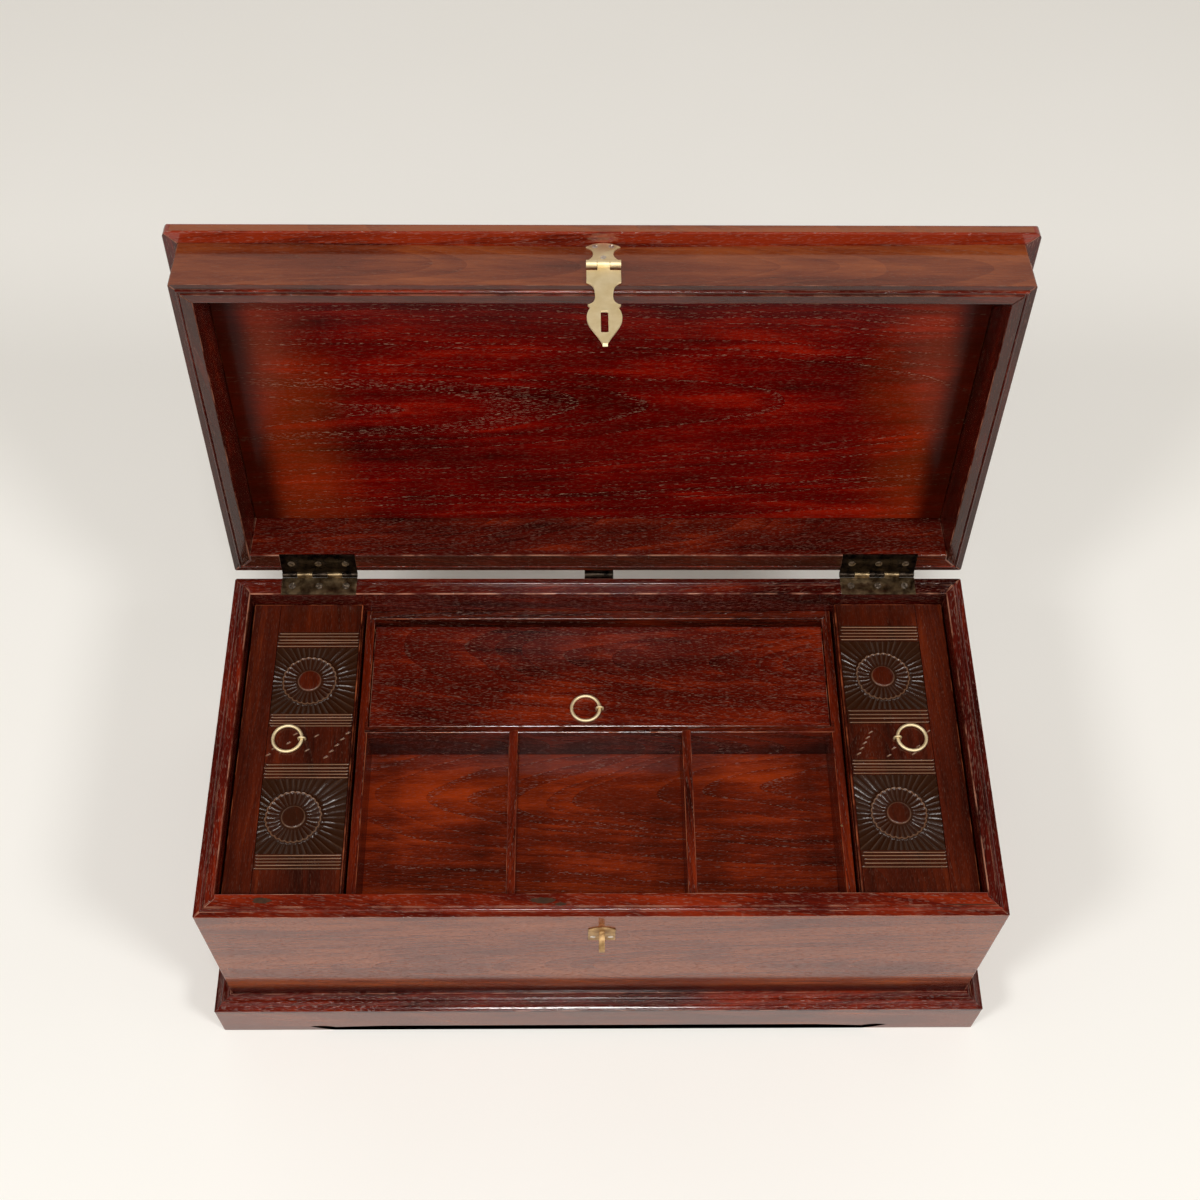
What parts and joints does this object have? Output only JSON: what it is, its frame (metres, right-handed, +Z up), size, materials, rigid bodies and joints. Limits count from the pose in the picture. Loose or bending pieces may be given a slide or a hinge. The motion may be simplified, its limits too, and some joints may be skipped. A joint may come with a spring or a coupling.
{
  "type": "arabic dowry chest",
  "caption": "Low lacquered wooden chest on a bracket-foot plinth, hinged lid with a brass hasp, lift-out carved tills and a divided tray.",
  "frame": {"origin": "on the floor, at the middle of the open chest's bounding box", "axes": "+X to the right along the chest's length, +Y to the back, where the lid hinges, +Z up; the front with the staple faces -Y"},
  "size_m": [0.795, 0.523, 0.6747],
  "materials": {
    "lacquered_wood": "gloss",
    "inner_wood": "satin",
    "carved_lid_wood": "satin",
    "plain_wood": "matte",
    "brass": "satin",
    "aged_steel": "satin"
  },
  "bodies": {
    "chest": {"board_front": "lacquered_wood", "board_back": "lacquered_wood", "board_left": "lacquered_wood", "board_right": "lacquered_wood", "bottom_board": "plain_wood", "tray_cleats": "inner_wood", "plinth_front": "lacquered_wood", "plinth_left": "lacquered_wood", "plinth_right": "lacquered_wood", "base_moulding_front": "lacquered_wood", "base_moulding_left": "lacquered_wood", "base_moulding_right": "lacquered_wood", "foot_blocks": "plain_wood", "lid_stop": "aged_steel", "lid_stop_screws": "aged_steel", "hinge_left_body_leaf": "aged_steel", "hinge_right_body_leaf": "aged_steel", "hinge_pins": "aged_steel", "hinge_body_screws": "aged_steel", "staple": "brass", "staple_screws": "brass"},
    "lid": {"lid_rail_front": "lacquered_wood", "lid_rail_back": "lacquered_wood", "lid_rail_left": "lacquered_wood", "lid_rail_right": "lacquered_wood", "lid_top": "lacquered_wood", "lid_edging_front": "lacquered_wood", "lid_edging_left": "lacquered_wood", "lid_edging_right": "lacquered_wood", "hinge_left_lid_leaf": "aged_steel", "hinge_right_lid_leaf": "aged_steel", "hinge_lid_screws": "aged_steel", "hasp_plate": "brass", "hasp_pin": "brass", "hasp_screws": "brass"},
    "hasp": {"hasp_strap": "brass"},
    "left_till": {"left_till_sides": "inner_wood", "left_till_ends": "inner_wood", "left_till_bottom": "inner_wood"},
    "left_till_cover": {"left_till_lid": "carved_lid_wood", "left_till_lid_battens": "inner_wood", "left_ring_eye": "brass"},
    "left_pull": {"left_ring": "brass"},
    "right_till": {"right_till_sides": "inner_wood", "right_till_ends": "inner_wood", "right_till_bottom": "inner_wood"},
    "right_till_cover": {"right_till_lid": "carved_lid_wood", "right_till_lid_battens": "inner_wood", "right_ring_eye": "brass"},
    "right_pull": {"right_ring": "brass"},
    "tray": {"tray_front": "inner_wood", "tray_back": "inner_wood", "tray_sides": "inner_wood", "tray_bottom": "inner_wood", "cross_divider": "inner_wood", "tray_dividers": "inner_wood", "tray_lid_pins": "inner_wood"},
    "tray_cover": {"tray_lid": "inner_wood", "tray_ring_eye": "brass"},
    "tray_pull": {"tray_ring": "brass"}
  },
  "joints": [
    {"name": "lid_hinge", "type": "hinge", "parent": "chest", "child": "lid", "pos_m": [0, 0.13464, 0.278], "axis": [-1, 0, 0], "range_deg": [-98, 0]},
    {"name": "hasp_hinge", "type": "hinge", "parent": "lid", "child": "hasp", "pos_m": [0, 0.21461, 0.65307], "axis": [-1, 0, 0], "range_deg": [0, 150]},
    {"name": "left_till_lift", "type": "slide", "parent": "chest", "child": "left_till", "axis": [0, 0, 1], "range_m": [0, 0.11]},
    {"name": "left_till_lid_lift", "type": "slide", "parent": "left_till", "child": "left_till_cover", "axis": [0, 0, 1], "range_m": [0, 0.06]},
    {"name": "left_ring_hinge", "type": "hinge", "parent": "left_till_cover", "child": "left_pull", "pos_m": [-0.297, -0.05046, 0.26295], "axis": [0, 1, 0], "range_deg": [0, 180]},
    {"name": "right_till_lift", "type": "slide", "parent": "chest", "child": "right_till", "axis": [0, 0, 1], "range_m": [0, 0.11]},
    {"name": "right_till_lid_lift", "type": "slide", "parent": "right_till", "child": "right_till_cover", "axis": [0, 0, 1], "range_m": [0, 0.06]},
    {"name": "right_ring_hinge", "type": "hinge", "parent": "right_till_cover", "child": "right_pull", "pos_m": [0.297, -0.05046, 0.26295], "axis": [0, -1, 0], "range_deg": [0, 180]},
    {"name": "tray_lift", "type": "slide", "parent": "chest", "child": "tray", "axis": [0, 0, 1], "range_m": [0, 0.11]},
    {"name": "tray_lid_hinge", "type": "hinge", "parent": "tray", "child": "tray_cover", "pos_m": [0, 0.09004, 0.237], "axis": [-1, 0, 0], "range_deg": [0, 105]},
    {"name": "tray_ring_hinge", "type": "hinge", "parent": "tray_cover", "child": "tray_pull", "pos_m": [0, -0.00596, 0.24345], "axis": [0, 1, 0], "range_deg": [0, 180]}
  ]
}
